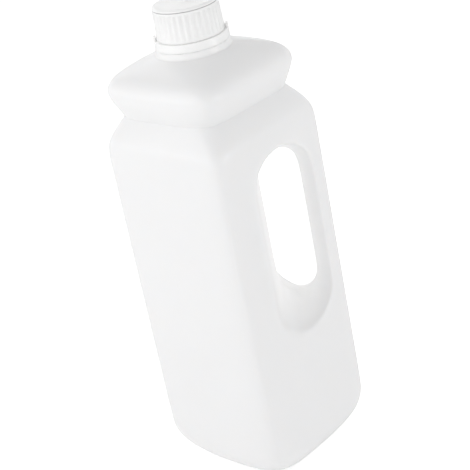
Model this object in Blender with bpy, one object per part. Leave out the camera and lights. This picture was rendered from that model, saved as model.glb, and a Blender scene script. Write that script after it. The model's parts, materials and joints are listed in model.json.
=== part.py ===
"""A blow-moulded plastic jug with a grip in one corner, a screw cap and a tamper band.

The jug stands on the plane Z = 0 with its axis on Z. Its square section is turned so that
the upright corners point along X and Y. The grip is the corner towards +X, the finger hole
behind it runs through along Y, and the mould halves meet in the XZ plane.
Lengths are written in millimetres and turned into metres where a mesh is made.
"""
import math

import bmesh
import bpy

MILLIMETRE = 0.001
ROOT_TWO = math.sqrt(2.0)
GAP = 0.3                       # clearance between neighbouring pieces

# Body
HALF_WIDTH = 48.0               # from the axis to the middle of a flat side
CORNER_RADIUS = 10.0            # upright corners
BODY_TOP = 219.5                # where the sides begin to lean in to the waist
BASE_RISE = 23.0                # height of the rounding under the corners
BASE_RISE_SIDE = 13.0           # height of the rounding under the flat sides
BASE_INSET_SIDE = 10.3          # how far the rounding draws the flat sides in
BASE_INSET_CORNER = 21.5        # how far it draws the corners in
BASE_ROUNDNESS = 1.6            # at the corners: 2 is a circular arc, 1 a flat bevel
BASE_ROUNDNESS_SIDE = 1.3      # the same under the flat sides
BASE_STAND = (0.94, 0.84, 0.75)  # rings of the flat stand, as shares of the base outline
BASE_HOLLOW = (0.66, 0.58, 0.3)  # rings of the hollow inside the stand
BASE_PUSH_UP = 3.0              # height of the hollow inside the stand
LOWER_LEVELS = (50.0, 78.0)     # cage levels of the plain body below the finger hole

# Head: height above BODY_TOP, corner reach from the axis, corner radius
HEAD_STATIONS = (
    (0.0, 63.9, 10.0),
    (7.0, 62.2, 11.5),
    (14.5, 55.2, 13.0),
    (18.3, 51.4, 13.8),
    (20.4, 48.9, 14.4),         # bottom of the waist groove
    (23.0, 50.5, 15.0),
    (27.0, 52.5, 15.2),
    (32.5, 55.5, 15.6),
    (36.5, 56.5, 16.0),         # widest part of the head
    (40.7, 55.4, 14.5),
    (44.8, 52.0, 13.5),
    (48.3, 43.4, 15.0),
    (50.9, 32.6, 19.0),
)

# Neck: a collar with a crisp foot, then the plain spout inside the cap
NECK_FOOT = 272.8
COLLAR_RADIUS = 22.9
COLLAR_TOP = 277.0
COLLAR_TOP_RADIUS = 22.5
NECK_RADIUS = 18.6
NECK_TOP = 300.2
NECK_OUTLINE = (
    (NECK_FOOT, COLLAR_RADIUS),
    (COLLAR_TOP, COLLAR_TOP_RADIUS),
    (COLLAR_TOP, NECK_RADIUS),
    (NECK_TOP, NECK_RADIUS),
)
NECK_END_INSET = 0.5            # the cage ring that closes the spout, as a share of its radius

# Finger hole: the rounded slot on a flat side and the narrower one in the mould plane
RIM_CENTRE = 37.4               # distance from the axis, along X
RIM_HALF_WIDTH = 19.0
RIM_BOTTOM = 89.0
RIM_TOP = 212.0
RIM_END = 23.0                  # height of the rounded ends
MIDDLE_CENTRE = 35.6
MIDDLE_HALF_WIDTH = 12.9
MIDDLE_BOTTOM = 101.5
MIDDLE_TOP = 203.0
MIDDLE_END = 15.0
RIM_BORDER = 3.0                # flat border round the slot, which keeps the side flat
WALL_STEPS = ((0.16, 0.30), (0.92, 0.62))   # (share of narrowing, share of depth)

# Screw cap
CAP_BOTTOM = 282.0
CAP_RADIUS = 20.4
CAP_TAPER = 0.6                 # how much narrower the skirt is at the top
CAP_FLANGE = 1.4                # plain bead under the ribs
CAP_RIB_TOP = 298.3
CAP_RIBS = 34
CAP_RIB_DEPTH = 0.7
RIB_PROFILE = (0.0, 0.5, 1.0, 0.5)   # share of the depth at each column of a rib
RIB_RUN_OUT = 0.6               # height over which the ribs fade out at either end
CAP_GROOVE = 299.9              # height of the fine groove under the top disc
GROOVE_HALF = 0.4               # half the groove's height
GROOVE_DEPTH = 0.65
CAP_TOP = 301.8
CAP_EDGE_RADIUS = 1.4
CAP_EDGE_STEPS = 3
CAP_WALL_RADIUS = 19.0          # inside of the skirt
CAP_ROOF = 300.5                # inside of the top

# Tamper band
BAND_RADIUS = 22.0
BAND_TOP = 281.7
BAND_CHAMFER = 0.7
BAND_COLUMNS = 72
EAR_ROOT = 20.9                 # inner face of an ear, clear of the cap's skirt
EAR_REACH = 22.5
EAR_HALF_LENGTH = 3.4
EAR_BOTTOM = 277.7
EAR_TOP = 284.0
EAR_WINDOW_HALF_LENGTH = 1.7
EAR_WINDOW_BOTTOM = 279.4
EAR_WINDOW_TOP = 282.5
EAR_BEVEL = 0.25

# Cage columns on the -Y half, from the -X corner round to the grip corner
PLAIN_COLUMNS = 4               # cage faces across a plain side, between its corners
BASE_STEPS = 6                  # cage faces up the rounding of the base
HOLE_COLUMNS = 4                # cage faces across the slot
HOLE_SIDE_STEPS = 4             # cage faces along each straight edge of the slot
ARC_STEPS = 2                   # cage faces in each eighth of the slot's ends


def material(name, colour, roughness):
    """A plain plastic material."""
    made = bpy.data.materials.new(name)
    made.use_nodes = True
    shader = made.node_tree.nodes["Principled BSDF"]
    shader.inputs["Base Color"].default_value = (*colour, 1.0)
    shader.inputs["Roughness"].default_value = roughness
    shader.inputs["Metallic"].default_value = 0.0
    return made


def add_object(name, mesh_builder, surface):
    """Turn a finished bmesh, in millimetres, into a smooth-shaded object in metres."""
    bmesh.ops.scale(mesh_builder, vec=(MILLIMETRE,) * 3, verts=mesh_builder.verts)
    mesh = bpy.data.meshes.new(name)
    mesh_builder.to_mesh(mesh)
    mesh_builder.free()
    mesh.shade_smooth()
    mesh.set_sharp_from_angle(angle=math.radians(35.0))
    if surface:
        mesh.materials.append(surface)
    made = bpy.data.objects.new(name, mesh)
    bpy.context.scene.collection.objects.link(made)
    return made


def outline_reach(angle, reach, radius):
    """Distance from the axis to a rounded square whose corners point along X and Y."""
    half = (reach + radius * (ROOT_TWO - 1.0)) / ROOT_TWO
    turn = abs((math.degrees(angle) + 45.0) % 90.0 - 45.0)
    turn = math.radians(turn)
    centre = (half - radius) * ROOT_TWO
    arc_end = math.atan2(radius / ROOT_TWO, centre + radius / ROOT_TWO)
    if turn >= arc_end:
        return half / math.cos(math.pi / 4.0 - turn)
    across = centre * math.sin(turn)
    return centre * math.cos(turn) + math.sqrt(radius ** 2 - across ** 2)


def column_angles():
    """Angles of the cage columns on the body, from the -X corner to the +X corner."""
    sharp = HALF_WIDTH * ROOT_TWO
    arc = CORNER_RADIUS / ROOT_TWO
    arc_x = sharp - arc
    plain = [(-arc_x, -arc)]
    span = arc_x - arc
    shares = [step / PLAIN_COLUMNS for step in range(1, PLAIN_COLUMNS)]
    plain += [(-arc_x + share * span, -arc - share * span) for share in shares]
    plain += [(-arc, -arc_x), (0.0, -sharp), (arc, -arc_x)]
    left = RIM_CENTRE - RIM_HALF_WIDTH - RIM_BORDER
    width = 2.0 * (RIM_HALF_WIDTH + RIM_BORDER)
    slot = [left + width * step / HOLE_COLUMNS for step in range(HOLE_COLUMNS + 1)]
    plain += [(x, x - sharp) for x in slot]
    plain += [(arc_x, -arc)]
    inner = [math.atan2(y, x) for x, y in plain]
    return [-math.pi] + inner + [0.0]


def even_columns(front, last):
    """The columns spread evenly on either side of the front corner, as (angle, step)."""
    quarter = math.pi / 2.0
    plain_step = quarter / front
    grip_step = quarter / (last - front)
    plain = [(plain_step * i - math.pi, plain_step) for i in range(front)]
    grip = [(grip_step * i - quarter, grip_step) for i in range(last - front + 1)]
    return plain + grip


def ring(height, reach, radius, share):
    """Cage points of one level; share moves the columns from the body's angles to even ones."""
    body = column_angles()
    last = len(body) - 1
    front = PLAIN_COLUMNS + 2
    points = []
    for angle, (even, step) in zip(body, even_columns(front, last)):
        turn = angle * (1.0 - share) + even * share
        shrink = (2.0 + math.cos(step)) / 3.0
        points.append([turn, outline_reach(turn, reach, radius) / (1.0 + share * (shrink - 1.0))])
    for corner in (0, front, last):
        turn, distance = points[corner - 1 if corner else 1]
        along = distance * math.cos(turn - points[corner][0])
        points[corner][1] = (3.0 * reach - along) / 2.0
    return [(d * math.cos(a), d * math.sin(a), height) for a, d in points]


def slot_outline(centre, half_width, bottom, top, end):
    """Points of a slot with rounded ends, as (x, z), from the lower left corner clockwise."""
    low = bottom + end
    high = top - end
    eighth = [math.radians(45.0 * step / ARC_STEPS) for step in range(ARC_STEPS)]
    left = [(-math.cos(a), low - end * math.sin(a)) for a in reversed([*eighth, math.pi / 4.0])]
    rise = (high - low) / HOLE_SIDE_STEPS
    left += [(-1.0, low + rise * step) for step in range(1, HOLE_SIDE_STEPS)]
    left += [(-math.cos(a), high + end * math.sin(a)) for a in [*eighth, math.pi / 4.0]]
    turns = [math.pi * (0.75 - 0.5 * step / HOLE_COLUMNS) for step in range(1, HOLE_COLUMNS)]
    over = [(math.cos(a), high + end * math.sin(a)) for a in turns]
    right = [(-side, z) for side, z in reversed(left)]
    under = [(side, low + high - z) for side, z in reversed(over)]
    return [(centre + half_width * side, z) for side, z in left + over + right + under]


def side_levels():
    """Heights of the cage levels beside the slot."""
    outline = slot_outline(0.0, 1.0, RIM_BOTTOM - RIM_BORDER, RIM_TOP + RIM_BORDER,
                           RIM_END + RIM_BORDER)
    return [z for _, z in outline[:2 * ARC_STEPS + HOLE_SIDE_STEPS + 1]]


def base_levels():
    """Levels of the rounding between the flat base and the upright sides."""
    levels = []
    for step in range(BASE_STEPS + 1):
        turn = math.pi / 2.0 * step / BASE_STEPS
        height = BASE_RISE * (1.0 - math.cos(turn) ** (2.0 / BASE_ROUNDNESS))
        reach = body_reach() - BASE_INSET_CORNER * (1.0 - math.sin(turn) ** (2.0 / BASE_ROUNDNESS))
        drop = max(0.0, 1.0 - height / BASE_RISE_SIDE)
        side_inset = 1.0 - (1.0 - drop ** BASE_ROUNDNESS_SIDE) ** (1.0 / BASE_ROUNDNESS_SIDE)
        half = HALF_WIDTH - BASE_INSET_SIDE * side_inset
        radius = (half * ROOT_TWO - reach) / (ROOT_TWO - 1.0)
        levels.append((height, reach, radius, 0.0))
    return levels


def body_reach():
    """Distance from the axis to an upright corner."""
    return HALF_WIDTH * ROOT_TWO - CORNER_RADIUS * (ROOT_TWO - 1.0)


def cage_levels():
    """All levels from the base to the top of the neck: height, reach, radius, column share."""
    levels = base_levels()
    upright = [*LOWER_LEVELS, *side_levels()]
    levels += [(z, body_reach(), CORNER_RADIUS, 0.0) for z in upright]
    head = NECK_FOOT - BODY_TOP
    levels += [(BODY_TOP + up, reach, radius, up / head) for up, reach, radius in HEAD_STATIONS]
    levels += [(height, radius, radius, 1.0) for height, radius in NECK_OUTLINE]
    return levels


def add_rings(cage, levels):
    """Cage faces between successive levels; returns the rows of vertices."""
    rows = [[cage.verts.new(point) for point in ring(*level)] for level in levels]
    for low, high in zip(rows, rows[1:]):
        for i in range(len(low) - 1):
            cage.faces.new((low[i], low[i + 1], high[i + 1], high[i]))
    return rows


def close_ring(cage, row, steps, upward):
    """Close a level towards the axis through scaled copies, given as (scale, height)."""
    for scale, height in steps:
        inner = [cage.verts.new((v.co.x * scale, v.co.y * scale, height)) for v in row]
        for i in range(len(row) - 1):
            face = (row[i], row[i + 1], inner[i + 1], inner[i])
            cage.faces.new(face if upward else face[::-1])
        row = inner
    pole = cage.verts.new((0.0, 0.0, row[0].co.z))
    for i in range(len(row) - 1):
        face = (row[i], row[i + 1], pole)
        cage.faces.new(face if upward else face[::-1])


def cut_finger_hole(cage, rows, first_row):
    """Remove the cage faces of the slot and line the hole as far as the mould plane."""
    first = len(rows[0]) - 2 - (HOLE_COLUMNS + 1)
    height = 2 * ARC_STEPS + HOLE_SIDE_STEPS
    patch = rows[first_row:first_row + height + 1]
    inside = [row[i] for row in patch[1:-1] for i in range(first + 1, first + HOLE_COLUMNS)]
    bmesh.ops.delete(cage, geom=inside, context='VERTS')
    last = first + HOLE_COLUMNS
    loop = [row[first] for row in patch]
    loop += [patch[-1][i] for i in range(first + 1, last)]
    loop += [row[last] for row in reversed(patch)]
    loop += [patch[0][i] for i in range(last - 1, first, -1)]
    border = slot_outline(RIM_CENTRE, RIM_HALF_WIDTH + RIM_BORDER, RIM_BOTTOM - RIM_BORDER,
                          RIM_TOP + RIM_BORDER, RIM_END + RIM_BORDER)
    sharp = HALF_WIDTH * ROOT_TWO
    for vertex, (x, z) in zip(loop, border):
        vertex.co = (x, x - sharp, z)
    rim = slot_outline(RIM_CENTRE, RIM_HALF_WIDTH, RIM_BOTTOM, RIM_TOP, RIM_END)
    middle = slot_outline(MIDDLE_CENTRE, MIDDLE_HALF_WIDTH, MIDDLE_BOTTOM, MIDDLE_TOP, MIDDLE_END)
    for narrowing, depth in ((0.0, 0.0), *WALL_STEPS, (1.0, 1.0)):
        inner = []
        for (rim_x, rim_z), (mid_x, mid_z) in zip(rim, middle):
            x = rim_x + (mid_x - rim_x) * narrowing
            z = rim_z + (mid_z - rim_z) * narrowing
            y = (rim_x - sharp) * (1.0 - depth)
            inner.append(cage.verts.new((x, y, z)))
        for i in range(len(loop)):
            after = (i + 1) % len(loop)
            cage.faces.new((loop[after], loop[i], inner[i], inner[after]))
        loop = inner


def crease_level(cage, height, radius):
    """Keep a level of the neck crisp under the subdivision."""
    layer = cage.edges.layers.float.get("crease_edge") or cage.edges.layers.float.new("crease_edge")
    for edge in cage.edges:
        on_level = all(abs(v.co.z - height) < GAP for v in edge.verts)
        on_circle = all(abs(v.co.xy.length - radius) < 2.0 * GAP for v in edge.verts)
        if on_level and on_circle:
            edge[layer] = 1.0


def make_bottle(surface):
    """The jug: half a cage, mirrored in the mould plane and subdivided."""
    cage = bmesh.new()
    levels = cage_levels()
    rows = add_rings(cage, levels)
    stand = [(scale, 0.0) for scale in BASE_STAND]
    hollow = list(zip(BASE_HOLLOW, (BASE_PUSH_UP / 2.0, BASE_PUSH_UP, BASE_PUSH_UP)))
    close_ring(cage, rows[0], stand + hollow, upward=False)
    close_ring(cage, rows[-1], ((NECK_END_INSET, NECK_TOP),), upward=True)
    heights = [level[0] for level in levels]
    cut_finger_hole(cage, rows, heights.index(side_levels()[0]))
    for height, radius in NECK_OUTLINE:
        crease_level(cage, height, radius)
    for vertex in cage.verts:
        if abs(vertex.co.y) < 0.001:
            vertex.co.y = 0.0
    bottle = add_object("bottle", cage, surface)
    mirror = bottle.modifiers.new("Mould halves", 'MIRROR')
    mirror.use_axis = (False, True, False)
    mirror.merge_threshold = 0.0001
    smooth = bottle.modifiers.new("Smooth", 'SUBSURF')
    smooth.levels = 1
    smooth.render_levels = 1
    return bottle


def lathe(profile, columns, closed):
    """Turn (radius, height, depth of ribs) rows round Z; outline runs with the body on its left."""
    turned = bmesh.new()
    rows = []
    for radius, height, ribs in profile:
        if radius == 0.0:
            rows.append([turned.verts.new((0.0, 0.0, height))])
            continue
        row = []
        for i in range(columns):
            angle = 2.0 * math.pi * i / columns
            distance = radius - ribs * RIB_PROFILE[i % len(RIB_PROFILE)]
            row.append(turned.verts.new((distance * math.cos(angle), distance * math.sin(angle), height)))
        rows.append(row)
    pairs = list(zip(rows, rows[1:] + rows[:1])) if closed else list(zip(rows, rows[1:]))
    for low, high in pairs:
        for i in range(columns):
            after = (i + 1) % columns
            corners = [low[i % len(low)], low[after % len(low)]]
            corners += [high[after % len(high)], high[i % len(high)]]
            turned.faces.new(list(dict.fromkeys(corners)))
    return turned


def make_cap(surface):
    """The screw cap: a ribbed skirt, a fine groove and a top disc with a rounded edge."""
    flange_top = CAP_BOTTOM + CAP_FLANGE
    top_radius = CAP_RADIUS - CAP_TAPER
    profile = [(0.0, CAP_ROOF, 0.0), (CAP_WALL_RADIUS, CAP_ROOF, 0.0)]
    profile += [(CAP_WALL_RADIUS, CAP_BOTTOM, 0.0), (CAP_RADIUS, CAP_BOTTOM, 0.0)]
    profile += [(CAP_RADIUS, flange_top, 0.0), (CAP_RADIUS, flange_top + RIB_RUN_OUT, CAP_RIB_DEPTH)]
    profile += [(top_radius, CAP_RIB_TOP, CAP_RIB_DEPTH), (top_radius, CAP_RIB_TOP + RIB_RUN_OUT, 0.0)]
    profile += [(top_radius, CAP_GROOVE - GROOVE_HALF, 0.0), (top_radius - GROOVE_DEPTH, CAP_GROOVE, 0.0)]
    profile += [(top_radius, CAP_GROOVE + GROOVE_HALF, 0.0)]
    for step in range(CAP_EDGE_STEPS + 1):
        turn = math.pi / 2.0 * step / CAP_EDGE_STEPS
        radius = top_radius - CAP_EDGE_RADIUS * (1.0 - math.cos(turn))
        height = CAP_TOP - CAP_EDGE_RADIUS * (1.0 - math.sin(turn))
        profile.append((radius, height, 0.0))
    profile.append((0.0, CAP_TOP, 0.0))
    return add_object("cap", lathe(profile, len(RIB_PROFILE) * CAP_RIBS, closed=False), surface)


def add_ear(builder, side):
    """A flat loop that stands in the mould plane on one side, as a shell of its own."""
    outer = (EAR_HALF_LENGTH, EAR_BOTTOM, EAR_TOP)
    window = (EAR_WINDOW_HALF_LENGTH, EAR_WINDOW_BOTTOM, EAR_WINDOW_TOP)
    near, far = [], []
    for made, x in ((near, side * EAR_ROOT), (far, side * EAR_REACH)):
        for half, bottom, top in (window, outer):
            for y, z in ((-half, bottom), (half, bottom), (half, top), (-half, top)):
                made.append(builder.verts.new((x, y, z)))
    for i in range(4):
        after = (i + 1) % 4
        quads = [
            (near[i], near[after], near[4 + after], near[4 + i]),
            (far[i], far[4 + i], far[4 + after], far[after]),
            (near[i], far[i], far[after], near[after]),
            (near[4 + i], near[4 + after], far[4 + after], far[4 + i]),
        ]
        for quad in quads:
            builder.faces.new(quad)


def make_ears():
    """The ears that stand on the band in the mould plane, as a guide for the union."""
    loops = bmesh.new()
    for side in (-1.0, 1.0):
        add_ear(loops, side)
    bmesh.ops.recalc_face_normals(loops, faces=loops.faces[:])
    bmesh.ops.bevel(loops, geom=loops.edges[:], offset=EAR_BEVEL, segments=1, affect='EDGES')
    ears = add_object("ears", loops, None)
    ears.hide_render = True
    ears.display_type = 'WIRE'
    return ears


def make_band(surface):
    """The tamper band left on the neck, with a looped ear on each side."""
    inner = NECK_RADIUS + GAP
    bottom = COLLAR_TOP + GAP
    profile = [(inner, bottom, 0.0), (BAND_RADIUS, bottom, 0.0)]
    profile += [(BAND_RADIUS, BAND_TOP - BAND_CHAMFER, 0.0)]
    profile += [(BAND_RADIUS - BAND_CHAMFER, BAND_TOP, 0.0), (inner, BAND_TOP, 0.0)]
    band = add_object("tamper_band", lathe(profile, BAND_COLUMNS, closed=True), surface)
    union = band.modifiers.new("Ears", 'BOOLEAN')
    union.operation = 'UNION'
    union.solver = 'EXACT'
    union.object = make_ears()
    return band


def main():
    for old in list(bpy.data.objects):
        bpy.data.objects.remove(old, do_unlink=True)
    jug_plastic = material("Jug plastic", (0.86, 0.86, 0.86), 0.38)
    cap_plastic = material("Cap plastic", (0.88, 0.88, 0.88), 0.30)
    make_bottle(jug_plastic)
    make_cap(cap_plastic)
    make_band(cap_plastic)


main()
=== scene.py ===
# %% [markdown]
# # A plastic jug with a grip in its corner
#
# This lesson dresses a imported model: the solids say where everything is and how large it is,
# and the script gives them fine surfaces, real plastics, light and a camera.
# The jug is blow-moulded: a tube of hot plastic is blown against the two halves of a mould,
# which leaves soft corners, a thin seam where the halves met and a slightly uneven skin.
# The cap and the band under it are injection-moulded: sharper, smoother and a little glossier.

# %% The frame
import json
import math

import bpy
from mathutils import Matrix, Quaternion, Vector

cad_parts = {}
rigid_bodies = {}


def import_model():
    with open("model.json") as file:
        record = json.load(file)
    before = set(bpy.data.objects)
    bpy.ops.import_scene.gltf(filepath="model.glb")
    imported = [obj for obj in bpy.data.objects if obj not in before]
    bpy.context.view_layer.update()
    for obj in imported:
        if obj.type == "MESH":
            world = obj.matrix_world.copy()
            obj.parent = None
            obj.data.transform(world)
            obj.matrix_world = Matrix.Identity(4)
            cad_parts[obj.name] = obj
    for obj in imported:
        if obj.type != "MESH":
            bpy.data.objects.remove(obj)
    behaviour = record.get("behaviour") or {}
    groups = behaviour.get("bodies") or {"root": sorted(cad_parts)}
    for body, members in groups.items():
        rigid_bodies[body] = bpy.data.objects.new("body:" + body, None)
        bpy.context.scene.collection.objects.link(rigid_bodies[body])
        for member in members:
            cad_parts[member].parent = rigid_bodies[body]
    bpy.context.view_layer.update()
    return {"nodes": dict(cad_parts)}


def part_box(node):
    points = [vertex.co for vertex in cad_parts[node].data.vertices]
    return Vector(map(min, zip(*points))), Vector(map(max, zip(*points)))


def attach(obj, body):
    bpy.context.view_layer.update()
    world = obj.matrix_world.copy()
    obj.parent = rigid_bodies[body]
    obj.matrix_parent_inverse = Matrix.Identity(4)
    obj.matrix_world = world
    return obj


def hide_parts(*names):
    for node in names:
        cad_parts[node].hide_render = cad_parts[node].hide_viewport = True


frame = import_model()
MM = 0.001
jug_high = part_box("bottle")[1]
cap_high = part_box("cap")[1]
print("jug", [round(v / MM, 1) for v in jug_high], "cap top", round(cap_high.z / MM, 1))

# %% [markdown]
# ## Small helpers
#
# An operator works on whatever is selected, and the loader leaves the solids selected.
# So each step first clears the selection and then makes one object active.
# In edit mode the faces are picked by where they are, in code, before the operator runs.

# %% Selecting and editing
MERGE_DISTANCE = 0.00001
SMOOTH_ANGLE = math.radians(40.0)


def use_only(thing):
    """Select one object and make it active."""
    if bpy.context.object and bpy.context.object.mode != 'OBJECT':
        bpy.ops.object.mode_set(mode='OBJECT')
    bpy.ops.object.select_all(action='DESELECT')
    thing.select_set(True)
    bpy.context.view_layer.objects.active = thing


def pick(thing, kind, test):
    """Select the vertices, edges or faces of a mesh that pass a test, and go to edit mode."""
    use_only(thing)
    bpy.ops.object.mode_set(mode='EDIT')
    bpy.ops.mesh.select_mode(type=kind)
    bpy.ops.mesh.select_all(action='DESELECT')
    bpy.ops.object.mode_set(mode='OBJECT')
    elements = {
        'VERT': thing.data.vertices,
        'EDGE': thing.data.edges,
        'FACE': thing.data.polygons,
    }
    chosen = 0
    for element in elements[kind]:
        element.select = bool(test(element))
        chosen += element.select
    bpy.ops.object.mode_set(mode='EDIT')
    return chosen


def apply_modifiers(thing):
    """Apply the modifiers of a piece in their order."""
    use_only(thing)
    for modifier in list(thing.modifiers):
        bpy.ops.object.modifier_apply(modifier=modifier.name)


def settle(thing):
    """Put a piece's place into its mesh, so that its object sits at the origin."""
    use_only(thing)
    bpy.ops.object.transform_apply(location=True, rotation=True, scale=True)


# %% [markdown]
# ## Camera
#
# The jug is seen from a little above eye level with a long lens, so its upright edges run
# almost parallel. The camera is rolled, which makes the jug lean to the left in the picture.
# The place and angles are real ones: metres, degrees and a focal length in millimetres.

# %% Camera
CAMERA_PLACE = Vector((0.0140, -0.7995, 0.5144))
CAMERA_AZIMUTH = math.radians(0.9)
CAMERA_ELEVATION = math.radians(24.6)
CAMERA_ROLL = math.radians(11.64)
FOCAL_LENGTH = 107.47

camera_data = bpy.data.cameras.new("Camera")
camera_data.sensor_width = 36.0
camera_data.lens = FOCAL_LENGTH
camera_data.clip_start = 0.01
camera_data.clip_end = 20.0
camera = bpy.data.objects.new("Camera", camera_data)
bpy.context.scene.collection.objects.link(camera)
bpy.context.scene.camera = camera
backward = Vector((
    math.sin(CAMERA_AZIMUTH) * math.cos(CAMERA_ELEVATION),
    -math.cos(CAMERA_AZIMUTH) * math.cos(CAMERA_ELEVATION),
    math.sin(CAMERA_ELEVATION),
))
level = (-backward).to_track_quat('-Z', 'Y')
camera.rotation_mode = 'QUATERNION'
camera.rotation_quaternion = level @ Quaternion((0.0, 0.0, 1.0), -CAMERA_ROLL)
camera.location = CAMERA_PLACE
print("camera", round(CAMERA_PLACE.length, 3), "m from the base")

# %% [markdown]
# ## Light and floor
#
# White plastic in a white room is lit from every side, and most of the light comes from the
# walls, near the horizon: the ceiling is darker, so the shoulder, which faces up, is darker
# than the sides. The world is a grey that brightens towards the horizon. A key at the left
# and a panel close to the left side make that side the brightest, most of all near the top.
# A low panel fills the right side, and one high behind lights the rims and the top of the
# cap. Two small panels stand where the front corner mirrors them, and put a soft light patch
# on either side of it. The table is lit from below, as a photo table is: it looks clean
# white, and a part of its light reaches the foot of the jug, so the lower edge doesn't go
# dark.

# %% Light
def add_panel(name, place, aim, size, power):
    """A square soft light at a place, turned towards a point, not seen by the camera."""
    data = bpy.data.lights.new(name, 'AREA')
    data.shape = 'SQUARE'
    data.size = size
    data.energy = power
    panel = bpy.data.objects.new(name, data)
    bpy.context.scene.collection.objects.link(panel)
    panel.location = place
    panel.rotation_mode = 'QUATERNION'
    panel.rotation_quaternion = (Vector(aim) - Vector(place)).to_track_quat('-Z', 'Y')
    panel.visible_camera = False
    return panel


AIM = (0.0, 0.0, 0.16)
add_panel("Key at the left", (-0.65, -0.25, 0.75), AIM, 0.50, 0.38)
add_panel("Close left fill", (-0.38, -0.20, 0.35), AIM, 0.45, 0.37)
add_panel("Right fill", (0.84, -0.52, 0.20), AIM, 0.36, 0.46)
add_panel("High back left", (-0.2, 0.8, 0.8), AIM, 0.60, 0.75)
add_panel("Left glint", (-0.43, -0.47, 0.52), AIM, 0.10, 0.05)
add_panel("Right glint", (0.64, -0.28, 0.24), AIM, 0.10, 0.12)

CEILING = 0.65
HORIZON = 1.18
HORIZON_TOP = 0.5
world = bpy.data.worlds.new("Studio")
world.use_nodes = True
room = world.node_tree
ray = room.nodes.new("ShaderNodeTexCoord")
split = room.nodes.new("ShaderNodeSeparateXYZ")
wall = room.nodes.new("ShaderNodeMapRange")
wall.inputs["From Max"].default_value = HORIZON_TOP
wall.inputs["To Min"].default_value = HORIZON
wall.inputs["To Max"].default_value = CEILING
room.links.new(ray.outputs["Generated"], split.inputs["Vector"])
room.links.new(split.outputs["Z"], wall.inputs["Value"])
room.links.new(wall.outputs["Result"], room.nodes["Background"].inputs["Strength"])
room.nodes["Background"].inputs["Color"].default_value = (1.0, 1.0, 1.0, 1.0)
bpy.context.scene.world = world
bpy.context.scene.view_settings.view_transform = 'Standard'

# %% Floor
FLOOR_SIZE = 6.0
FLOOR_TONE = (0.92, 0.92, 0.92, 1.0)
GLOW_SEEN = 0.45
GLOW_ON_THE_JUG = 0.12
bpy.ops.object.select_all(action='DESELECT')
bpy.ops.mesh.primitive_plane_add(size=FLOOR_SIZE)
floor = bpy.context.object
floor.name = "Floor"
table_top = bpy.data.materials.new("Photo table")
table_top.use_nodes = True
nodes = table_top.node_tree.nodes
links = table_top.node_tree.links
matt = nodes["Principled BSDF"]
matt.inputs["Base Color"].default_value = FLOOR_TONE
matt.inputs["Roughness"].default_value = 0.9
glow = nodes.new("ShaderNodeEmission")
both = nodes.new("ShaderNodeAddShader")
path = nodes.new("ShaderNodeLightPath")
strength = nodes.new("ShaderNodeMapRange")
strength.inputs["To Min"].default_value = GLOW_ON_THE_JUG
strength.inputs["To Max"].default_value = GLOW_SEEN
links.new(path.outputs["Is Camera Ray"], strength.inputs["Value"])
links.new(strength.outputs["Result"], glow.inputs["Strength"])
links.new(matt.outputs[0], both.inputs[0])
links.new(glow.outputs[0], both.inputs[1])
links.new(both.outputs[0], nodes["Material Output"].inputs["Surface"])
floor.data.materials.append(table_top)

# %% [markdown]
# ## Moulded plastic
#
# Moulded polyethylene is never optically flat. Its skin has a fine orange peel, faint long
# streaks from the die or the mould, and patches that are slightly more matt.
# All pieces share that effect, so it is one node group with its own sockets. It reads object
# coordinates, which need no unwrapping and run unbroken over the whole piece.

# %% The shared skin effect
def make_skin_group():
    """Node group: object-space plastic skin, as a height, a tone and a roughness."""
    group = bpy.data.node_groups.new("Moulded skin", 'ShaderNodeTree')
    for name, value in (("Peel size", 600.0), ("Streaks", 0.3), ("Base roughness", 0.4),
                        ("Roughness spread", 0.06)):
        socket = group.interface.new_socket(name, in_out='INPUT', socket_type='NodeSocketFloat')
        socket.default_value = value
    for name in ("Height", "Tone", "Roughness"):
        group.interface.new_socket(name, in_out='OUTPUT', socket_type='NodeSocketFloat')
    add = group.nodes.new
    link = group.links.new
    given = add("NodeGroupInput")
    result = add("NodeGroupOutput")
    where = add("ShaderNodeTexCoord")
    peel = add("ShaderNodeTexNoise")
    peel.inputs["Detail"].default_value = 2.0
    link(where.outputs["Object"], peel.inputs["Vector"])
    link(given.outputs["Peel size"], peel.inputs["Scale"])
    stretch = add("ShaderNodeMapping")
    stretch.inputs["Scale"].default_value = (1.0, 1.0, 0.03)
    link(where.outputs["Object"], stretch.inputs["Vector"])
    streak = add("ShaderNodeTexNoise")
    streak.inputs["Scale"].default_value = 220.0
    streak.inputs["Detail"].default_value = 3.0
    link(stretch.outputs["Vector"], streak.inputs["Vector"])
    streak_share = add("ShaderNodeMath")
    streak_share.operation = 'MULTIPLY'
    link(streak.outputs["Fac"], streak_share.inputs[0])
    link(given.outputs["Streaks"], streak_share.inputs[1])
    height = add("ShaderNodeMath")
    height.operation = 'ADD'
    link(peel.outputs["Fac"], height.inputs[0])
    link(streak_share.outputs["Value"], height.inputs[1])
    link(height.outputs["Value"], result.inputs["Height"])
    patch = add("ShaderNodeTexNoise")
    patch.inputs["Scale"].default_value = 28.0
    patch.inputs["Detail"].default_value = 3.0
    link(where.outputs["Object"], patch.inputs["Vector"])
    link(patch.outputs["Fac"], result.inputs["Tone"])
    spread = add("ShaderNodeMath")
    spread.operation = 'MULTIPLY_ADD'
    link(patch.outputs["Fac"], spread.inputs[0])
    link(given.outputs["Roughness spread"], spread.inputs[1])
    link(given.outputs["Base roughness"], spread.inputs[2])
    link(spread.outputs["Value"], result.inputs["Roughness"])
    return group


skin_group = make_skin_group()

# %% [markdown]
# The plastic itself is a Principled shader. A little subsurface light softens the shading, as
# translucent white polyethylene does, and the colour moves only a few percent with the
# patches. The jug is satin; the cap, pressed in a polished steel mould, is glossier.

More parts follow.
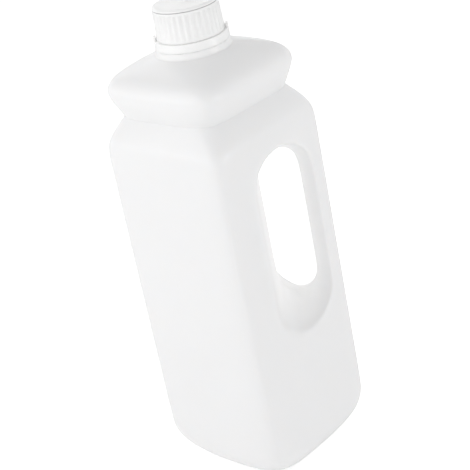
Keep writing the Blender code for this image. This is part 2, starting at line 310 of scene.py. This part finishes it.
# %% The plastics
def make_plastic(name, light_tone, dark_tone, roughness, spread, peel_size, streaks, bump, soft):
    """A white plastic with the shared skin; soft is how much light travels under the surface."""
    made = bpy.data.materials.new(name)
    made.use_nodes = True
    add = made.node_tree.nodes.new
    link = made.node_tree.links.new
    shader = made.node_tree.nodes["Principled BSDF"]
    shader.inputs["Metallic"].default_value = 0.0
    shader.inputs["IOR"].default_value = 1.5
    shader.inputs["Coat Weight"].default_value = 0.2
    shader.inputs["Coat Roughness"].default_value = 0.12
    shader.inputs["Subsurface Weight"].default_value = soft
    shader.inputs["Subsurface Radius"].default_value = (1.0, 0.95, 0.9)
    shader.inputs["Subsurface Scale"].default_value = 0.002
    skin = add("ShaderNodeGroup")
    skin.node_tree = skin_group
    skin.inputs["Peel size"].default_value = peel_size
    skin.inputs["Streaks"].default_value = streaks
    skin.inputs["Base roughness"].default_value = roughness
    skin.inputs["Roughness spread"].default_value = spread
    tones = add("ShaderNodeMix")
    tones.data_type = 'RGBA'
    tones.inputs["A"].default_value = (*dark_tone, 1.0)
    tones.inputs["B"].default_value = (*light_tone, 1.0)
    link(skin.outputs["Tone"], tones.inputs["Factor"])
    link(tones.outputs["Result"], shader.inputs["Base Color"])
    link(skin.outputs["Roughness"], shader.inputs["Roughness"])
    relief = add("ShaderNodeBump")
    relief.inputs["Distance"].default_value = bump * MM
    relief.inputs["Strength"].default_value = 1.0
    link(skin.outputs["Height"], relief.inputs["Height"])
    link(relief.outputs["Normal"], shader.inputs["Normal"])
    return made


jug_plastic = make_plastic("Jug plastic", (0.895, 0.895, 0.90), (0.88, 0.88, 0.882),
                           0.27, 0.05, 420.0, 0.3, 0.015, 0.6)
# %% [markdown]
# The jug is hollow and thin, so light inside it comes out again through the walls. That light
# is painted here: a faint glow, an emission in the jug plastic, is put only where little other
# light falls: deep in the finger hole, where the two mould halves pinch the walls together.
# One more group marks that place. A flat side is the plane where the distance from the mould
# plane equals what is left to the corner, so the quotient of the two is one on the side and
# falls to nothing at the mould plane.

# %% Painted glow on the web
SIDE_REACH = 67.9 * MM
WEB_FULL = 0.25
WEB_BOX = (("X", 12.0, 17.0), ("X", 57.0, 42.0), ("Z", 88.0, 93.0), ("Z", 213.0, 206.0))


def make_painted_glow_mask_group():
    """Node group: the mask of the painted glow, one where the walls of the finger hole meet,
    nothing on the outside.
    """
    group = bpy.data.node_groups.new("Painted glow at the pinched web", 'ShaderNodeTree')
    group.interface.new_socket("Mask", in_out='OUTPUT', socket_type='NodeSocketFloat')
    link = group.links.new

    def math_node(operation, first, second):
        node = group.nodes.new("ShaderNodeMath")
        node.operation = operation
        for socket, value in zip(node.inputs, (first, second)):
            if isinstance(value, float):
                socket.default_value = value
            else:
                link(value, socket)
        return node.outputs["Value"]

    def ramp(value, start, end):
        node = group.nodes.new("ShaderNodeMapRange")
        node.inputs["From Min"].default_value = start
        node.inputs["From Max"].default_value = end
        link(value, node.inputs["Value"])
        return node.outputs["Result"]

    where = group.nodes.new("ShaderNodeTexCoord")
    axes = group.nodes.new("ShaderNodeSeparateXYZ")
    link(where.outputs["Object"], axes.inputs["Vector"])
    from_plane = math_node('ABSOLUTE', axes.outputs["Y"], 0.0)
    to_corner = math_node('SUBTRACT', SIDE_REACH, axes.outputs["X"])
    mask = ramp(math_node('DIVIDE', from_plane, to_corner), 1.0, WEB_FULL)
    for axis, start, end in WEB_BOX:
        mask = math_node('MULTIPLY', mask, ramp(axes.outputs[axis], start * MM, end * MM))
    link(mask, group.nodes.new("NodeGroupOutput").inputs["Mask"])
    return group


def paint_glow_on_web(plastic, colour):
    """Paint a faint glow, an emission, into a plastic where the web is pinched."""
    add = plastic.node_tree.nodes.new
    link = plastic.node_tree.links.new
    shader = plastic.node_tree.nodes["Principled BSDF"]
    web = add("ShaderNodeGroup")
    web.node_tree = make_painted_glow_mask_group()
    glow_mix = add("ShaderNodeMix")
    glow_mix.data_type = 'RGBA'
    glow_mix.inputs["A"].default_value = (0.0, 0.0, 0.0, 1.0)
    glow_mix.inputs["B"].default_value = (*colour, 1.0)
    link(web.outputs["Mask"], glow_mix.inputs["Factor"])
    link(glow_mix.outputs["Result"], shader.inputs["Emission Color"])
    shader.inputs["Emission Strength"].default_value = 1.0


# Painted light: the colour of a faint glow in the finger hole, standing in for light through the
# walls.
paint_glow_on_web(jug_plastic, (0.115, 0.113, 0.108))
cap_plastic = make_plastic("Cap plastic", (0.965, 0.965, 0.96), (0.95, 0.95, 0.945),
                           0.26, 0.06, 700.0, 0.1, 0.012, 0.15)

# %% [markdown]
# Two places get a tone by height. The neck is not blown out like the rest of the jug, but
# stays as thick as the soft tube it was made from; its ring is given the white of the cap.
# And the groove under the cap's top disc is only half a millimetre wide, so the shade in it is
# painted: it is tinted grey to read as a dark line from where the camera stands. Both places
# are bounded by height, so one kind of mask, built from ramps along the height, serves for both.

# %% Tones by height
NECK_LEVELS = ((272.7, 272.9),)
# Painted shade: the heights of the grey tint in the groove under the top disc.
PAINTED_GROOVE_SHADE_LEVELS = ((299.93, 299.98), (300.47, 300.42))


def make_level_group(name, levels):
    """Node group: one between heights given in millimetres as (nothing, full) pairs."""
    group = bpy.data.node_groups.new(name, 'ShaderNodeTree')
    group.interface.new_socket("Mask", in_out='OUTPUT', socket_type='NodeSocketFloat')
    link = group.links.new
    where = group.nodes.new("ShaderNodeTexCoord")
    axes = group.nodes.new("ShaderNodeSeparateXYZ")
    link(where.outputs["Object"], axes.inputs["Vector"])
    mask = None
    for nothing, full in levels:
        ramp = group.nodes.new("ShaderNodeMapRange")
        ramp.inputs["From Min"].default_value = nothing * MM
        ramp.inputs["From Max"].default_value = full * MM
        link(axes.outputs["Z"], ramp.inputs["Value"])
        if mask:
            link(mask, ramp.inputs["To Max"])
        mask = ramp.outputs["Result"]
    link(mask, group.nodes.new("NodeGroupOutput").inputs["Mask"])
    return group


def recolour(plastic, name, levels, colour):
    """Mix another colour into a plastic between the given heights."""
    add = plastic.node_tree.nodes.new
    link = plastic.node_tree.links.new
    shader = plastic.node_tree.nodes["Principled BSDF"]
    own_colour = shader.inputs["Base Color"].links[0].from_socket
    place = add("ShaderNodeGroup")
    place.node_tree = make_level_group(name, levels)
    colours = add("ShaderNodeMix")
    colours.data_type = 'RGBA'
    link(place.outputs["Mask"], colours.inputs["Factor"])
    link(own_colour, colours.inputs["A"])
    colours.inputs["B"].default_value = (*colour, 1.0)
    link(colours.outputs["Result"], shader.inputs["Base Color"])


recolour(jug_plastic, "Thick neck", NECK_LEVELS, (0.985, 0.985, 0.98))
# Painted shade: the groove under the top disc is tinted grey where shade falls in it.
recolour(cap_plastic, "Painted shade in the groove under the disc", PAINTED_GROOVE_SHADE_LEVELS, (0.67, 0.67, 0.67))

# %% [markdown]
# ## The jug
#
# The jug could be modelled again from a cube, but its solid already has the right form: the
# soft square body, the waist, the head and the finger hole. Its mesh is loose triangles, so a
# copy is merged and turned back into four-sided faces, and a subdivision surface then rounds
# every facet away. That keeps the jug true to its solid and gives a clean flow of faces.

# %% Jug body
def merged_copy(node, name):
    """A copy of a solid with its corners merged and its triangles joined to four-sided faces."""
    copy = frame["nodes"][node].copy()
    copy.data = copy.data.copy()
    copy.name = name
    copy.parent = None
    for key in list(copy.keys()):
        del copy[key]
    bpy.context.scene.collection.objects.link(copy)
    copy.data.materials.clear()
    use_only(copy)
    bpy.ops.object.mode_set(mode='EDIT')
    bpy.ops.mesh.select_all(action='SELECT')
    bpy.ops.mesh.remove_doubles(threshold=MERGE_DISTANCE)
    bpy.ops.mesh.tris_convert_to_quads(face_threshold=math.radians(60.0),
                                       shape_threshold=math.radians(120.0), topology_influence=1.0)
    bpy.ops.mesh.select_all(action='DESELECT')
    bpy.ops.object.mode_set(mode='OBJECT')
    left = sum(len(face.vertices) == 3 for face in copy.data.polygons)
    print(name, len(copy.data.polygons), "faces,", left, "still triangles")
    return copy


jug = merged_copy("bottle", "jug_body")

# %% [markdown]
# A subdivision surface rounds every edge alike, but the foot of the neck and the ledge that
# carries the tamper band are crisp on the real jug. Those edges are creased first, which tells
# the subdivision to keep them. They are picked by height and by being sharp. The waist is a
# crease too: the edges along its line are kept crisp and drawn in by a third of a millimetre.

# %% Crisp neck, soft body
NECK_START = 272.0 * MM
SHARP_FROM = math.radians(25.0)
WAIST = 239.9 * MM
WAIST_REACH = 0.4 * MM
WAIST_CUT = 0.35 * MM
NECK_CREASE = 0.95
WAIST_CREASE = 0.75
ROUNDING_LEVELS = 2


def on_waist(edge):
    """Whether both ends of an edge of the jug are on the line of the waist."""
    ends = [jug.data.vertices[index].co for index in edge.vertices]
    return all(abs(end.z - WAIST) < WAIST_REACH for end in ends)


use_only(jug)
bpy.ops.object.mode_set(mode='EDIT')
bpy.ops.mesh.select_mode(type='EDGE')
bpy.ops.mesh.select_all(action='DESELECT')
bpy.ops.mesh.edges_select_sharp(sharpness=SHARP_FROM)
bpy.ops.object.mode_set(mode='OBJECT')
kept = 0
for edge in jug.data.edges:
    low = min(jug.data.vertices[index].co.z for index in edge.vertices)
    edge.select = edge.select and low > NECK_START
    kept += edge.select
bpy.ops.object.mode_set(mode='EDIT')
bpy.ops.transform.edge_crease(value=NECK_CREASE)
bpy.ops.object.mode_set(mode='OBJECT')
pick(jug, 'EDGE', on_waist)
bpy.ops.transform.edge_crease(value=WAIST_CREASE)
bpy.ops.transform.shrink_fatten(value=-WAIST_CUT)
bpy.ops.object.mode_set(mode='OBJECT')
smooth = jug.modifiers.new("Round", 'SUBSURF')
smooth.levels = ROUNDING_LEVELS
smooth.render_levels = ROUNDING_LEVELS
apply_modifiers(jug)
print("crisp edges", kept, "jug faces", len(jug.data.polygons))

# %% [markdown]
# On the flat sides the solid has a few very long triangles, and there the subdivision can
# fold a face over its neighbour. A folded face looks inwards, so it is easy to find on the
# half of the jug without the grip. Smoothing the points round it lays the fold flat again.

# %% Unfolding
BASE_END = 20.0 * MM
SHOULDER = 215.0 * MM
FOLD_RINGS = 4
SMOOTHING_SHARE = 0.5
SMOOTHING_ROUNDS = 80


def looks_inward(face):
    """Whether a face on the closed half of the jug points towards the axis."""
    outward = Vector((face.center.x, face.center.y, 0.0))
    on_flat_side = face.center.x < 0.0 and BASE_END < face.center.z < SHOULDER
    return on_flat_side and face.normal.dot(outward) < 0.0


print("folded faces", pick(jug, 'FACE', looks_inward))
for ring in range(FOLD_RINGS):
    bpy.ops.mesh.select_more()
bpy.ops.mesh.vertices_smooth(factor=SMOOTHING_SHARE, repeat=SMOOTHING_ROUNDS)
bpy.ops.object.mode_set(mode='OBJECT')
print("still folded", pick(jug, 'FACE', looks_inward))
bpy.ops.object.mode_set(mode='OBJECT')

# %% [markdown]
# ## The mould seam
#
# Where the two mould halves close they leave a thin raised line. It climbs both corners in the
# mould plane, crosses the shoulder up to the neck, and rings the inside of the finger hole.
# It stops just above the base, so that the jug still stands on the table.
# Two cuts close on either side of that plane give the line its width, and the row of points
# between them is then pushed outwards along the surface by a fraction of a millimetre.

# %% Seam
SEAM_HALF_WIDTH = 0.35 * MM
SEAM_HEIGHT = 0.16 * MM
SEAM_BOTTOM = 1.5 * MM
SEAM_TOP = 276.0 * MM
SEAM_NEAR = 0.02 * MM


def on_seam(point):
    """Whether a point of the jug is in the mould plane, between the ends of the seam."""
    return abs(point.co.y) < SEAM_NEAR and SEAM_BOTTOM < point.co.z < SEAM_TOP


use_only(jug)
bpy.ops.object.mode_set(mode='EDIT')
for offset in (-SEAM_HALF_WIDTH, SEAM_HALF_WIDTH):
    bpy.ops.mesh.select_all(action='SELECT')
    bpy.ops.mesh.bisect(plane_co=(0.0, offset, 0.0), plane_no=(0.0, 1.0, 0.0))
seam_points = pick(jug, 'VERT', on_seam)
bpy.ops.transform.shrink_fatten(value=SEAM_HEIGHT)
bpy.ops.object.mode_set(mode='OBJECT')
bpy.ops.object.shade_smooth_by_angle(angle=SMOOTH_ANGLE)
print("seam points", seam_points, "jug faces", len(jug.data.polygons))
jug.data.materials.append(jug_plastic)
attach(jug, "root")
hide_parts("bottle")

# %% [markdown]
# ## Turning on a lathe
#
# The cap and the band are round. A round piece is best drawn as half of its cross-section and
# spun about the axis: one point is extruded from corner to corner, and the spin operator
# sweeps that line round. Rounded edges are short arcs in the drawn line.

# %% Lathe helpers
def arc(centre, radius, start, end, steps):
    """Points (distance from the axis, height) of an arc, between two angles in degrees."""
    points = []
    for step in range(steps + 1):
        turn = math.radians(start + (end - start) * step / steps)
        points.append((centre[0] + radius * math.cos(turn), centre[1] + radius * math.sin(turn)))
    return points


def turned(name, outline, columns):
    """Draw an outline in millimetres by extruding one point, and spin it round the axis."""
    bpy.ops.object.select_all(action='DESELECT')
    bpy.ops.mesh.primitive_plane_add(size=MM)
    piece = bpy.context.object
    piece.name = name
    bpy.ops.object.mode_set(mode='EDIT')
    bpy.ops.mesh.select_all(action='SELECT')
    bpy.ops.mesh.merge(type='CENTER')
    bpy.ops.transform.translate(value=(outline[0][0] * MM, 0.0, outline[0][1] * MM))
    for (radius, height), (next_radius, next_height) in zip(outline, outline[1:]):
        step = ((next_radius - radius) * MM, 0.0, (next_height - height) * MM)
        bpy.ops.mesh.extrude_region_move(TRANSFORM_OT_translate={"value": step})
    bpy.ops.mesh.select_all(action='SELECT')
    bpy.ops.mesh.spin(steps=columns, angle=2.0 * math.pi,
                      center=(0.0, 0.0, 0.0), axis=(0.0, 0.0, 1.0))
    bpy.ops.mesh.select_all(action='SELECT')
    bpy.ops.mesh.remove_doubles(threshold=MERGE_DISTANCE)
    bpy.ops.mesh.normals_make_consistent(inside=False)
    bpy.ops.mesh.select_all(action='DESELECT')
    bpy.ops.object.mode_set(mode='OBJECT')
    print(name, len(piece.data.polygons), "faces from", len(outline), "outline points")
    return piece


# %% [markdown]
# ## Screw cap
#
# The cap is a shell: a skirt with wide soft ribs for the fingers, a plain bead under them, a
# fine groove above them, and a top disc with a rounded rim and a shallow recess. A small mark
# in the middle of the recess is where the plastic was injected. The outline goes from the
# inside of the roof down the inner wall, round the bottom edge, up the outside and back over
# the top.

# %% Cap outline
CAP_BOTTOM = 281.9
CAP_RADIUS = 20.4
SKIRT_TOP_RADIUS = 19.8
CAP_WALL = 19.0
CAP_ROOF = 300.5
CAP_TOP = 301.8
RIM_RADIUS = 1.4
BEAD_TOP = 283.2
RIB_START = 284.5
SKIRT_BEND = 291.0
RIB_END = 297.9
RIB_FADE = 298.5
GROOVE_LOW = 299.95
GROOVE_HIGH = 300.45
GROOVE_FLOOR = 19.15
RECESS = 0.12
GATE_MARK = 0.12

cap_outline = [(0.0, CAP_ROOF), (CAP_WALL, CAP_ROOF), (CAP_WALL, CAP_BOTTOM + 0.3)]
cap_outline += arc((CAP_WALL + 0.3, CAP_BOTTOM + 0.3), 0.3, 180.0, 270.0, 3)[1:]
cap_outline += arc((CAP_RADIUS - 0.2, CAP_BOTTOM + 0.2), 0.2, 270.0, 360.0, 3)
cap_outline += [(CAP_RADIUS, BEAD_TOP), (CAP_RADIUS - 0.02, RIB_START)]
cap_outline += [(CAP_RADIUS - 0.3, SKIRT_BEND)]
cap_outline += [(SKIRT_TOP_RADIUS + 0.02, RIB_END), (SKIRT_TOP_RADIUS, RIB_FADE)]
cap_outline += [(SKIRT_TOP_RADIUS, GROOVE_LOW - 0.1), (SKIRT_TOP_RADIUS - 0.1, GROOVE_LOW)]
cap_outline += [(GROOVE_FLOOR, GROOVE_LOW + 0.15), (GROOVE_FLOOR, GROOVE_HIGH - 0.1)]
cap_outline += [(SKIRT_TOP_RADIUS - 0.1, GROOVE_HIGH)]
cap_outline += arc((SKIRT_TOP_RADIUS - RIM_RADIUS, CAP_TOP - RIM_RADIUS), RIM_RADIUS, 8.0, 90.0, 7)
cap_outline += [(17.9, CAP_TOP), (17.5, CAP_TOP - RECESS), (16.0, CAP_TOP - RECESS)]
cap_outline += [(1.7, CAP_TOP - RECESS), (1.4, CAP_TOP - RECESS + GATE_MARK)]
cap_outline += [(0.0, CAP_TOP - RECESS + GATE_MARK)]

# %% [markdown]
# Thirty-four ribs run round the skirt. Each rib has six columns of points, and the columns
# between two crests are drawn in towards the axis by a share of the depth, which follows a
# cosine, so that the flutes are round. All flutes are cut in three strokes, one for each
# depth, because the scale operator works on everything that is selected.

# %% Cap with its ribs
RIBS = 34
RIB_COLUMNS = 6
RIB_DEPTH = 0.75
cap = turned("cap_shell", cap_outline, RIBS * RIB_COLUMNS)


def column_of(point):
    """Which column of its rib a point of the skirt stands in."""
    turn = math.atan2(point.y, point.x) / (2.0 * math.pi) * RIBS * RIB_COLUMNS
    return round(turn) % RIB_COLUMNS


def on_rib(point):
    """Whether a point is on the ribbed part of the outside."""
    outside = point.xy.length > (CAP_WALL + 0.4) * MM
    return outside and RIB_START - 0.05 < point.z / MM < RIB_END + 0.05


for column in range(1, RIB_COLUMNS // 2 + 1):
    depth = RIB_DEPTH * (1.0 - math.cos(2.0 * math.pi * column / RIB_COLUMNS)) / 2.0
    pair = (column, RIB_COLUMNS - column)
    moved = pick(cap, 'VERT', lambda v: on_rib(v.co) and column_of(v.co) in pair)
    share = 1.0 - depth / CAP_RADIUS
    bpy.ops.transform.resize(value=(share, share, 1.0), center_override=(0.0, 0.0, 0.0))
    bpy.ops.object.mode_set(mode='OBJECT')
    print("flute depth", round(depth, 3), "mm on", moved, "points")
use_only(cap)
bpy.ops.object.shade_smooth_by_angle(angle=SMOOTH_ANGLE)
settle(cap)
cap.data.materials.append(cap_plastic)
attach(cap, "root")
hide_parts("cap")

# %% [markdown]
# ## Tamper band
#
# The band stays on the neck when the cap is first turned. It is a ring with a rounded upper
# edge that widens slightly towards its foot, where it meets the ledge of the neck, and in the
# mould plane it carries a looped ear on each side. Small bridges tie it to the cap.
# Each ear is a block whose two faces are inset and bridged, which opens the window; the
# second ear and the bridges are copies. All of it is then joined by a union.

# %% Band ring
BAND_INNER = 18.9
BAND_OUTER = 22.0
BAND_FLARE = 22.48
BAND_LOW = 277.02
BAND_HIGH = 281.8
BAND_COLUMNS = 144
band_outline = [(BAND_INNER, BAND_LOW), (BAND_FLARE, BAND_LOW)]
band_outline += arc((BAND_OUTER - 0.4, BAND_HIGH - 0.4), 0.4, 0.0, 90.0, 4)
band_outline += [(BAND_INNER, BAND_HIGH), (BAND_INNER, BAND_LOW)]
band = turned("tamper_ring", band_outline, BAND_COLUMNS)

# %% Ears
EAR_INNER = 20.9
EAR_OUTER = 22.5
EAR_HALF_LENGTH = 3.4
EAR_LOW = 277.7
EAR_HIGH = 284.0
EAR_FRAME = 1.7
EAR_BEVEL = 0.35
bpy.ops.object.select_all(action='DESELECT')
bpy.ops.mesh.primitive_cube_add(size=1.0)
ear = bpy.context.object
ear.name = "ear_block"
ear.location = ((EAR_INNER + EAR_OUTER) / 2.0 * MM, 0.0, (EAR_LOW + EAR_HIGH) / 2.0 * MM)
ear.scale = ((EAR_OUTER - EAR_INNER) * MM, 2.0 * EAR_HALF_LENGTH * MM, (EAR_HIGH - EAR_LOW) * MM)
settle(ear)
pick(ear, 'FACE', lambda f: abs(f.normal.x) > 0.9)
bpy.ops.mesh.inset(thickness=EAR_FRAME * MM, use_individual=True)
bpy.ops.mesh.bridge_edge_loops()
bpy.ops.mesh.select_all(action='SELECT')
bpy.ops.mesh.normals_make_consistent(inside=False)
bpy.ops.mesh.bevel(offset=EAR_BEVEL * MM, segments=3, affect='EDGES')
bpy.ops.object.mode_set(mode='OBJECT')
print("ear", len(ear.data.polygons), "faces")

# %% Bridges and union
BRIDGES = 6
BRIDGE_START = math.radians(-48.0)
BRIDGE_SIZE = (0.8, 1.4, 0.6)
BRIDGE_REACH = 20.3
BRIDGE_LEVEL = 281.85
BRIDGE_BEVEL = 0.2


def placed_copy(source, name, turn):
    """A copy of a piece, with its own mesh, turned about the axis."""
    copy = source.copy()
    copy.data = source.data.copy()
    copy.name = name
    bpy.context.scene.collection.objects.link(copy)
    copy.rotation_euler = (0.0, 0.0, turn)
    settle(copy)
    return copy


bpy.ops.object.select_all(action='DESELECT')
bpy.ops.mesh.primitive_cube_add(size=1.0)
bridge = bpy.context.object
bridge.name = "bridge_block"
bridge.location = (BRIDGE_REACH * MM, 0.0, BRIDGE_LEVEL * MM)
bridge.scale = [length * MM for length in BRIDGE_SIZE]
settle(bridge)
bpy.ops.object.mode_set(mode='EDIT')
bpy.ops.mesh.select_all(action='SELECT')
bpy.ops.mesh.bevel(offset=BRIDGE_BEVEL * MM, segments=2, affect='EDGES')
bpy.ops.object.mode_set(mode='OBJECT')

additions = [ear, placed_copy(ear, "ear_left", math.pi)]
for number in range(1, BRIDGES):
    turn = BRIDGE_START + 2.0 * math.pi * number / BRIDGES
    additions.append(placed_copy(bridge, f"bridge_{number}", turn))
bridge.rotation_euler = (0.0, 0.0, BRIDGE_START)
settle(bridge)
additions.append(bridge)
use_only(additions[0])
for addition in additions:
    addition.select_set(True)
bpy.ops.object.join()
union = band.modifiers.new("Ears and bridges", 'BOOLEAN')
union.operation = 'UNION'
union.solver = 'EXACT'
union.object = additions[0]
apply_modifiers(band)
bpy.data.objects.remove(additions[0], do_unlink=True)
use_only(band)
bpy.ops.object.shade_smooth_by_angle(angle=SMOOTH_ANGLE)
print("band", len(band.data.polygons), "faces")
settle(band)
band.data.materials.append(cap_plastic)
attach(band, "root")
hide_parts("tamper_band")
